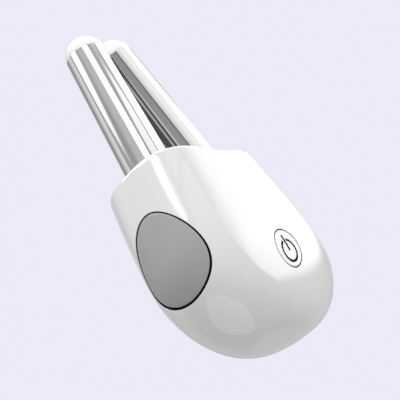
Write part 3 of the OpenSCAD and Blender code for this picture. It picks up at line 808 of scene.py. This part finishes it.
# %% Posts, ribs and collar
extras = []
for side in (-1, 1):
    foot = Matrix.Translation(Vector((side * 6.8, 5.604, 0)) * MM)
    extras.append(turned("post", [(0.75, 1.8, 0), (1.6, 1.8, 0), (1.6, 4.5, 0.15), (0.75, 4.5, 0.1)], 40, foot))
    extras.append(block((1.6, 4.0, 4.2), (side * 8.8, -0.4, 4.1)))
    bpy.ops.mesh.bevel(offset=0.12 * MM, segments=2)
extras.append(turned("collar", [
    (3.71, -2.0, 0.08), (5.55, -2.0, 0.15), (5.55, -1.1, 0), (3.71, -1.1, 0)], 96, on_button))
pick(shell)
for piece in extras:
    piece.select_set(True)
bpy.ops.object.join()
for piece in (shell, pad_right, pad_left):
    for name in ("ring", "column"):
        piece.data.attributes.remove(piece.data.attributes[name])
tell(shell)

# %% [markdown]
# ## Shared effects
#
# Two small node groups serve every finish. Fine grain gives a colour shift, a roughness
# shift and a relief from noise at a chosen size. Rub marks are long faint scratches. Both
# read object coordinates, which are real metres on the device.

# %% Helpers for nodes
def socket_kind(label):
    return "NodeSocketColor" if label == "Colour" else "NodeSocketFloat"


def new_group(name, inputs, outputs):
    """A group of effects. Its inputs are given with their usual values."""
    group = bpy.data.node_groups.new(name, "ShaderNodeTree")
    for label, value in inputs.items():
        socket = group.interface.new_socket(name=label, in_out="INPUT", socket_type=socket_kind(label))
        socket.default_value = value
    for label in outputs:
        group.interface.new_socket(name=label, in_out="OUTPUT", socket_type=socket_kind(label))
    return group, group.nodes.new("NodeGroupInput"), group.nodes.new("NodeGroupOutput")


def plug(tree, socket, value):
    """Links another socket to this one, or sets a number on it."""
    if isinstance(value, bpy.types.NodeSocket):
        tree.links.new(value, socket)
    else:
        socket.default_value = value


def fill_in(tree, node, **inputs):
    """Plugs several inputs of a node. A low line in a name stands for a space."""
    for label, value in inputs.items():
        plug(tree, node.inputs[label.replace("_", " ")], value)
    return node


def add_node(tree, kind, **inputs):
    return fill_in(tree, tree.nodes.new("ShaderNode" + kind), **inputs)


def choose_by(tree, switch, no, yes):
    node = tree.nodes.new("ShaderNodeMixShader")
    for socket, value in zip(node.inputs, (switch, no, yes)):
        plug(tree, socket, value)
    return node.outputs[0]


def math_node(tree, kind, *values):
    node = tree.nodes.new("ShaderNodeMath")
    node.operation = kind
    for socket, value in zip(node.inputs, values):
        plug(tree, socket, value)
    return node.outputs[0]


print("materials before any finish:", len(bpy.data.materials))

# %% [markdown]
# ## The two effects
#
# The grain joins a fine noise to a cloudy one. The marks stretch a noise along the height
# and keep only its peaks.

# %% Grain and rub marks
grain, g_in, g_out = new_group(
    "fine_grain", {"Colour": (0.8, 0.8, 0.8, 1), "Colour Shift": 0.02, "Roughness": 0.3, "Roughness Shift": 0.05,
                   "Grain Scale": 3000.0, "Cloud Scale": 120.0}, ["Colour", "Roughness", "Height"])
place = add_node(grain, "TexCoord").outputs["Object"]
fine = add_node(grain, "TexNoise", Vector=place, Scale=g_in.outputs["Grain Scale"], Detail=3).outputs["Fac"]
cloud = add_node(grain, "TexNoise", Vector=place, Scale=g_in.outputs["Cloud Scale"], Detail=4).outputs["Fac"]
swing = math_node(grain, "SUBTRACT", cloud, 0.5)
grains = math_node(grain, "SUBTRACT", fine, 0.5)
both = math_node(grain, "ADD", swing, math_node(grain, "MULTIPLY", grains, 0.6))
lighter = math_node(grain, "MULTIPLY_ADD", both, g_in.outputs["Colour Shift"], 1.0)
shade = add_node(grain, "HueSaturation", Value=lighter, Color=g_in.outputs["Colour"])
rough = math_node(grain, "MULTIPLY_ADD", both, g_in.outputs["Roughness Shift"], g_in.outputs["Roughness"])
rough = math_node(grain, "MAXIMUM", rough, 0.01)
fill_in(grain, g_out, Colour=shade.outputs["Color"], Roughness=rough, Height=fine)

rubs, r_in, r_out = new_group(
    "rub_marks", {"Length Scale": 60.0, "Width Scale": 5000.0, "Amount": 0.4}, ["Mask"])
across = r_in.outputs["Width Scale"]
sizes = add_node(rubs, "CombineXYZ", X=across, Y=across, Z=r_in.outputs["Length Scale"])
stretch = rubs.nodes.new("ShaderNodeVectorMath")
stretch.operation = "MULTIPLY"
plug(rubs, stretch.inputs[0], add_node(rubs, "TexCoord").outputs["Object"])
plug(rubs, stretch.inputs[1], sizes.outputs["Vector"])
lines = add_node(rubs, "TexNoise", Vector=stretch.outputs["Vector"], Scale=1.0, Detail=2).outputs["Fac"]
sharp = add_node(rubs, "MapRange", Value=lines, From_Min=0.58, From_Max=0.75).outputs["Result"]
fill_in(rubs, r_out, Mask=math_node(rubs, "MULTIPLY", sharp, r_in.outputs["Amount"]))
print("groups:", [g.name for g in (grain, rubs)])

# %% [markdown]
# ## Finishes
#
# One helper lays out a finish: a grain group feeds the shader's colour and roughness, and
# its height goes through a bump node. Values that are the same all over are set on the
# shader's own sockets. The caps' milky plastic gets a faint glow of its own: painted light
# that brightens their shaded side.

# %% Make a finish
def finish(name, colour, roughness, metallic=0.0, shift=0.02, rough_shift=0.04, grain_size=0.3,
           cloud_size=8.0, relief=0.0, marks=0.0, **sockets):
    """Sizes of grain and cloud, and the height of the relief, are in millimetres."""
    material = bpy.data.materials.new(name)
    material.use_nodes = True
    tree = material.node_tree
    shader = tree.nodes["Principled BSDF"]
    skin = add_node(tree, "Group")
    skin.node_tree = grain
    fill_in(tree, skin, Colour=(*colour, 1), Colour_Shift=shift, Roughness=roughness, Roughness_Shift=rough_shift,
            Grain_Scale=1000 / grain_size, Cloud_Scale=1000 / cloud_size)
    rough = skin.outputs["Roughness"]
    if marks:
        rub = add_node(tree, "Group")
        rub.node_tree = rubs
        fill_in(tree, rub, Amount=marks)
        rough = math_node(tree, "ADD", rough, rub.outputs["Mask"])
    fill_in(tree, shader, Metallic=metallic, Base_Color=skin.outputs["Colour"], Roughness=rough, **sockets)
    if relief:
        bump = add_node(tree, "Bump", Strength=1.0, Distance=relief * MM, Height=skin.outputs["Height"])
        fill_in(tree, shader, Normal=bump.outputs["Normal"])
    return material


finishes = {
    "housing_plastic": finish("white_gloss", (0.87, 0.87, 0.875), 0.035, shift=0.006, rough_shift=0.015,
        grain_size=1.2, cloud_size=14, relief=0.0004,
        Coat_Weight=0.25, Coat_Roughness=0.02),
    "cover_plastic": finish("cover_gloss", (0.80, 0.80, 0.81), 0.16, shift=0.01, rough_shift=0.06, relief=0.002),
    "frame_plastic": finish("frame_grey", (0.52, 0.53, 0.54), 0.5, shift=0.03, relief=0.006),
    "lever_plastic": finish("lever_white", (0.72, 0.72, 0.73), 0.42, relief=0.005),
    "probe_metal": finish("bright_plating", (0.93, 0.93, 0.94), 0.035, 1.0, shift=0.01, rough_shift=0.02,
        grain_size=0.5, cloud_size=5, marks=0.02),
    # the caps' Emission Strength is painted light: a faint glow that brightens their shaded side
    "cap_plastic": finish("milky_cap_painted_glow", (0.97, 0.97, 0.975), 0.06, shift=0.006, rough_shift=0.03, relief=0.0005,
        Coat_Weight=0.3, Coat_Roughness=0.03, Emission_Strength=0.10),
    "pad_rubber": finish("dry_rubber", (0.392, 0.392, 0.396), 0.58, shift=0.10, rough_shift=0.12,
        grain_size=0.16, cloud_size=6, relief=0.012),
    "carrier_plastic": finish("black_carrier", (0.003, 0.003, 0.003), 0.7, shift=0.1, relief=0.004,
        Specular_IOR_Level=0.06),
    "symbol_ink": finish("sign_ink", (0.006, 0.006, 0.006), 0.6, shift=0.15, grain_size=0.08, relief=0.001,
        Specular_IOR_Level=0.05),
    "steel": finish("plain_steel", (0.58, 0.59, 0.61), 0.28, 1.0, shift=0.03, marks=0.25, grain_size=0.2),
    "socket_steel": finish("socket_steel", (0.68, 0.68, 0.70), 0.22, 1.0, shift=0.03, marks=0.2,
        grain_size=0.2),
    "black_plastic": finish("black_insert", (0.010, 0.010, 0.010), 0.6, shift=0.1, relief=0.004,
        Specular_IOR_Level=0.15),
    "board_green": finish("solder_resist", (0.025, 0.16, 0.07), 0.3, shift=0.18, grain_size=0.5, relief=0.003),
    "battery_foil": finish("satin_foil", (0.72, 0.73, 0.75), 0.34, 1.0, shift=0.04, grain_size=0.7, relief=0.02),
    "tape_yellow": finish("amber_film", (0.72, 0.42, 0.05), 0.3, shift=0.08, relief=0.004),
    "wire_red": finish("red_sleeve", (0.42, 0.02, 0.02), 0.4, shift=0.06, relief=0.002),
    "wire_grey": finish("grey_sleeve", (0.12, 0.12, 0.125), 0.45, shift=0.06, relief=0.002),
    "lamp_red": finish("red_lens", (0.5, 0.012, 0.016), 0.08, shift=0.04, Transmission_Weight=0.35),
}
print("finishes:", len(finishes))

# %% [markdown]
# ## Dress the pieces
#
# New pieces take the finish of the slot that they stand for, ride on their body, and hide
# the CAD nodes that they replace. All other CAD nodes keep their shape and get a finish.

# %% Give out finishes and bodies
dressed = [
    (shell, "housing_plastic", "housing", "housing"),
    (button, "housing_plastic", "power_button", "power_button"),
    (sign, "symbol_ink", "power_button", "power_symbol"),
    (ring, "black_plastic", "power_button", None),
]
for hand, tube, cap, pad, black_shade_lip in (("left", tube_left, cap_left, pad_left, lip_left),
                                        ("right", tube_right, cap_right, pad_right, lip_right)):
    dressed += [(tube, "probe_metal", hand + "_lever", "probe_shaft_" + hand),
                (cap, "cap_plastic", hand + "_lever", "probe_cap_" + hand),
                (pad, "pad_rubber", hand + "_pad", "pad_grip_" + hand),
                (black_shade_lip, "carrier_plastic", hand + "_pad", None)]
for piece, slot, body, node in dressed:
    piece.data.materials.clear()
    piece.data.materials.append(finishes[slot])
    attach(piece, body)
    if node:
        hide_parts(node)
let_go()
replaced = {node for _, _, _, node in dressed if node}
for name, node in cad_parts.items():
    if name in replaced:
        continue
    for slot in node.material_slots:
        slot.material = finishes[slot.material.name.split(".")[0]]
print("replaced", len(replaced), "nodes, kept", len(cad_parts) - len(replaced))

# %% [markdown]
# ## Floor
#
# The floor is plain and pale. The photograph was taken from below the device, so the
# floor lets go of light that comes from its underside: seen from there it is clear.

# %% Floor
let_go()
bpy.ops.mesh.primitive_circle_add(vertices=96, radius=1.6, fill_type="NGON")
floor = named("floor")
floor.location.z = -0.02 * MM
settle(floor)
cloth = bpy.data.materials.new("pale_floor")
cloth.use_nodes = True
tree = cloth.node_tree
paper = fill_in(tree, tree.nodes["Principled BSDF"], Base_Color=(0.80, 0.80, 0.84, 1), Roughness=0.8)
clear = add_node(tree, "BsdfTransparent")
from_below = add_node(tree, "NewGeometry").outputs["Backfacing"]
fill_in(tree, tree.nodes["Material Output"],
        Surface=choose_by(tree, from_below, paper.outputs[0], clear.outputs[0]))
floor.data.materials.append(cloth)
floor.visible_glossy = floor.visible_diffuse = floor.visible_transmission = floor.visible_shadow = False

# %% [markdown]
# ## Soft light on the matt faces
#
# One large soft box high on the right gives the shade its direction. Mirrors don't see
# it, because a lamp's square would cut across the gloss in the wrong place. What they see
# is drawn in the room itself, in the next steps.

# %% Soft box
lamp = bpy.data.lights.new("soft_box", "AREA")
lamp.shape = "RECTANGLE"
lamp.size, lamp.size_y = 0.5, 0.4
lamp.energy = 0.25
soft_box = bpy.data.objects.new("soft_box", lamp)
soft_box.location = (0.35, -0.3, 0.5)
soft_box.rotation_euler = (Vector((0, 0, 0.03)) - soft_box.location).to_track_quat("-Z", "Y").to_euler()
soft_box.visible_camera = soft_box.visible_glossy = False
bpy.context.scene.collection.objects.link(soft_box)
print("soft box at", [round(v, 2) for v in soft_box.location])

# %% [markdown]
# ## The room
#
# A gloss white shape is drawn by what it mirrors, and bright plating shows nothing else.
# So the room is laid out like a studio round the device, in degrees: a bearing, with 0
# straight in front and 90 to the right, and a height above the horizon. A few helpers
# turn these into soft-edged masks, and put a panel of light where masks agree.

# %% Bearings, heights and panels
world = bpy.data.worlds.new("pale_room")
bpy.context.scene.world = world
world.use_nodes = True
tree = world.node_tree
tree.nodes.clear()
out = add_node(tree, "OutputWorld")
path = add_node(tree, "LightPath").outputs
gaze = add_node(tree, "TexCoord").outputs["Generated"]
parts = add_node(tree, "SeparateXYZ", Vector=gaze)
to_right, to_back, to_top = (parts.outputs[k] for k in "XYZ")


def times(first, *others):
    for other in others:
        first = math_node(tree, "MULTIPLY", first, other)
    return first


def plus(a, b, factor=1.0):
    """a * factor + b"""
    return math_node(tree, "MULTIPLY_ADD", a, factor, b)


def minus(a, b):
    return math_node(tree, "SUBTRACT", a, b)


def slope(value, start, end, low=0.0, high=1.0, kind="SMOOTHSTEP"):
    """Runs from low to high while the value runs from start to end."""
    node = add_node(tree, "MapRange", Value=value, From_Min=start, From_Max=end, To_Min=low, To_Max=high)
    node.interpolation_type = kind
    return node.outputs["Result"]


def past(value, edge, soft):
    return slope(minus(value, edge), -soft, soft)


def between(value, low, high, soft_low=0.4, soft_high=0.4):
    """Both ends may be numbers or come from other nodes, and each has its own softness."""
    return times(past(value, low, soft_low), slope(minus(value, high), -soft_high, soft_high, 1, 0))


def panel(room, light, *masks):
    """Puts a panel of light into the room, where all the masks agree."""
    node = tree.nodes.new("ShaderNodeMix")
    node.data_type = "FLOAT"
    for k, value in ((0, times(*masks)), (2, room), (3, light)):
        plug(tree, node.inputs[k], value)
    return node.outputs[0]


bearing = math_node(tree, "DEGREES", math_node(tree, "ARCTAN2", to_right, times(to_back, -1.0)))
height = math_node(tree, "DEGREES", math_node(tree, "ARCSINE", to_top))
whole_bearing = math_node(tree, "FLOORED_MODULO", bearing, 360.0)
print("nodes for bearing and height:", len(tree.nodes))

# %% [markdown]
# ## Behind the panels, and the stripes of the probes
#
# Behind all panels the room is dim below, brighter at mid height and dim again above. The
# probes lean, so they mirror what stands behind and to the left of the camera at two
# levels. Upright panels there, bright and dark in turn, give them their stripes.

# %% Backdrop and upright panels
low_light = slope(bearing, 75, 105, 0.2, 0.55)
mirrored = times(slope(height, -40, -12, low_light, 0.9), slope(height, -14, 30, 1.0, 0.52))
mirrored = times(mirrored, slope(bearing, 62, 86, 1.0, 0.8))
back_light = slope(whole_bearing, 160, 202, 0.25, 0.70)
left_light = slope(bearing, -108, -72, 0.30, 0.50)
first_foot = slope(bearing, -127, -98, 40.2, 44.9, "LINEAR")
second_left = slope(height, 44.5, 50.5, -50.5, -57)
second_right = plus(slope(height, 36.8, 39.5, -24, -16), slope(height, 40.5, 52, 0, -15, "LINEAR"))
for light, *masks in (
        (0.6, between(bearing, 97, 150, 4, 3), slope(height, 10, 14)),
        (back_light, between(whole_bearing, 150, 216, 3, 3), slope(height, 18, 22)),
        (0.36, between(whole_bearing, 209, 262, 4, 2), slope(height, 26, 28), slope(height, 48, 52, 1, 0)),
        (left_light, between(bearing, -108, -48), between(height, 26, 54)),
        # two bright stripes with slanted sides, and a dark one between them
        (1.08, slope(whole_bearing, 218, 222), slope(bearing, -101, -97, 1, 0), past(height, first_foot, 0.7),
         slope(height, 47, 49, 1, 0)),
        (0.40, between(bearing, -32, 0), slope(height, 28, 30)),
        (1.06, between(bearing, second_left, second_right, 0.6, 1.2), between(height, 30, 54))):
    mirrored = panel(mirrored, light, *masks)

# the lower level: light, from and to in bearing, softness of both sides
for light, left, right, soft_left, soft_right in (
        (0.18, -130, -71, 0.4, 0.4), (0.50, -71, -62.5, 1.5, 1.5),
        (0.29, -62.5, -21, 1.5, 1), (0.20, -33, -25, 1.5, 1.5)):
    mirrored = panel(mirrored, light, between(bearing, left, right, soft_left, soft_right),
                     between(height, 4, 24, 2, 2))
print("nodes with the stripes:", len(tree.nodes))

# %% [markdown]
# ## The key light and the wall beside it
#
# A large window of light stands at the front right. Its left edge draws the long curved
# line down the housing, and its sill ends the bright area below the button. Left of it a
# plain wall keeps the front an even, slightly darker white. A dark post past its far end
# draws a fine line down a probe.

# %% Key light and wall
low_down = slope(height, 12, -16, 0, 1, "LINEAR")
curl = math_node(tree, "POWER", low_down, 6.0)
key_left = plus(low_down, plus(curl, slope(height, 22, 31, 25, 32.5), 12.5), 9.5)
past_key = minus(bearing, key_left)
ramp = slope(height, -8, 22, 4, 18)
key_lit = slope(past_key, 0, ramp, slope(height, -8, 26, 2.7, 1.2), slope(height, 8, 30, 4.1, 2.6))
key_lit = times(key_lit, slope(bearing, 44, 104, 1.0, 0.36, "LINEAR"))
sill = slope(bearing, 47, 92, -15.5, 18.5, "LINEAR")
key_edge = slope(past_key, slope(height, 0, 20, -0.3, -0.8), slope(height, 0, 20, 0.3, 0.8))
key = times(key_edge, slope(minus(height, sill), -4.5, 5.5), slope(bearing, 98, 110, 1, 0))

wall_left = plus(slope(height, 22, 34, -22.5, -8.5), slope(height, 38, 48, 0, -6))
wall_right = math_node(tree, "MINIMUM", plus(key_left, -2.4), 25.0)
wall_foot = slope(bearing, -12, 8, -12, -20)
above = minus(height, slope(bearing, 4, 35, 36.05, 31))
band = times(slope(above, -0.4, 0.4), slope(plus(bearing, height, 0.155), 37.6, 38.2, 1, 0))
wall = times(between(bearing, wall_left, wall_right, 0.6, 0.5), past(height, wall_foot, 5), plus(band, 1.0, -1.0))
wall_lit = plus(slope(above, -3.5, -0.8, 0, 0.13), slope(bearing, -21, 8, 0.70, 0.92))
for light, *masks in (
        (wall_lit, wall), (key_lit, key), (0.15, between(bearing, 88, 122, 2, 4), between(height, 26.6, 29))):
    mirrored = panel(mirrored, light, *masks)
print("nodes with the key light:", len(tree.nodes))

# %% [markdown]
# ## Overhead and below
#
# A slanted strip draws the short bright line beside the pad, and light from overhead
# whitens the rim and the caps. A pale disc below, an oval with one straight side, shows
# as the soft spot near the foot. What is mirrored a second time is kept dim, as between
# two probes that face each other.

# %% Strip, top light and disc
strip_low = slope(plus(bearing, height, 0.5), 22.1, 24.6)
strip_high = slope(plus(bearing, height), 13.8, 19.8, 1, 0)
mirrored = panel(mirrored, 4.8, strip_low, strip_high, slope(bearing, -80, -74), slope(height, 36.5, 38.5))
mirrored = panel(mirrored, 5.0, slope(height, 58.5, 62))
down = math_node(tree, "MAXIMUM", times(to_top, -1.0), 0.05)
spot_x = math_node(tree, "DIVIDE", to_right, down)
spot_y = math_node(tree, "DIVIDE", to_back, down)
disc_u = plus(spot_x, plus(spot_y, 0.131, -0.733), -0.935)
disc_v = plus(spot_x, plus(spot_y, -0.025, 1.211), -0.949)
oval = slope(plus(times(disc_u, disc_u), times(disc_v, disc_v)), 0.97, 1.03, 1, 0)
straight_side = slope(plus(spot_y, spot_x, -0.389), 0.455, 0.480, 1, 0)
mirrored = panel(mirrored, 1.15, oval, slope(height, -20, -19, 1, 0), straight_side)
mirrored = times(mirrored, slope(path["Glossy Depth"], 1.2, 1.8, 1.0, 0.12))
print("nodes with the disc:", len(tree.nodes))

# %% [markdown]
# ## What matt faces and the camera get
#
# Matt faces get a plain light that fades downwards, a little stronger straight below and
# from the front. The camera sees an even light violet grey. The light path tells the
# world which of them is asked for.

# %% Put the room together
matt = plus(slope(height, -30, -70), slope(height, -90, 90, -0.21, 1.63, "LINEAR"), 0.65)
matt = plus(to_back, matt, -0.172)


def backdrop(light, tint=(1, 1, 1)):
    return add_node(tree, "Background", Color=(*tint, 1), Strength=light).outputs[0]


seen = backdrop(1.0, (0.831, 0.831, 0.930))
room = choose_by(tree, path["Is Glossy Ray"], backdrop(matt), backdrop(mirrored))
fill_in(tree, out, Surface=choose_by(tree, path["Is Camera Ray"], room, seen))
world.cycles.sampling_method = "NONE"
bpy.context.scene.view_settings.view_transform = "Standard"
print("nodes in the whole room:", len(tree.nodes))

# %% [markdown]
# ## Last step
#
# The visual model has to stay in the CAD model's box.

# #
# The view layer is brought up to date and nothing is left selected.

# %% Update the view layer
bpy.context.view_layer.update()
let_go()
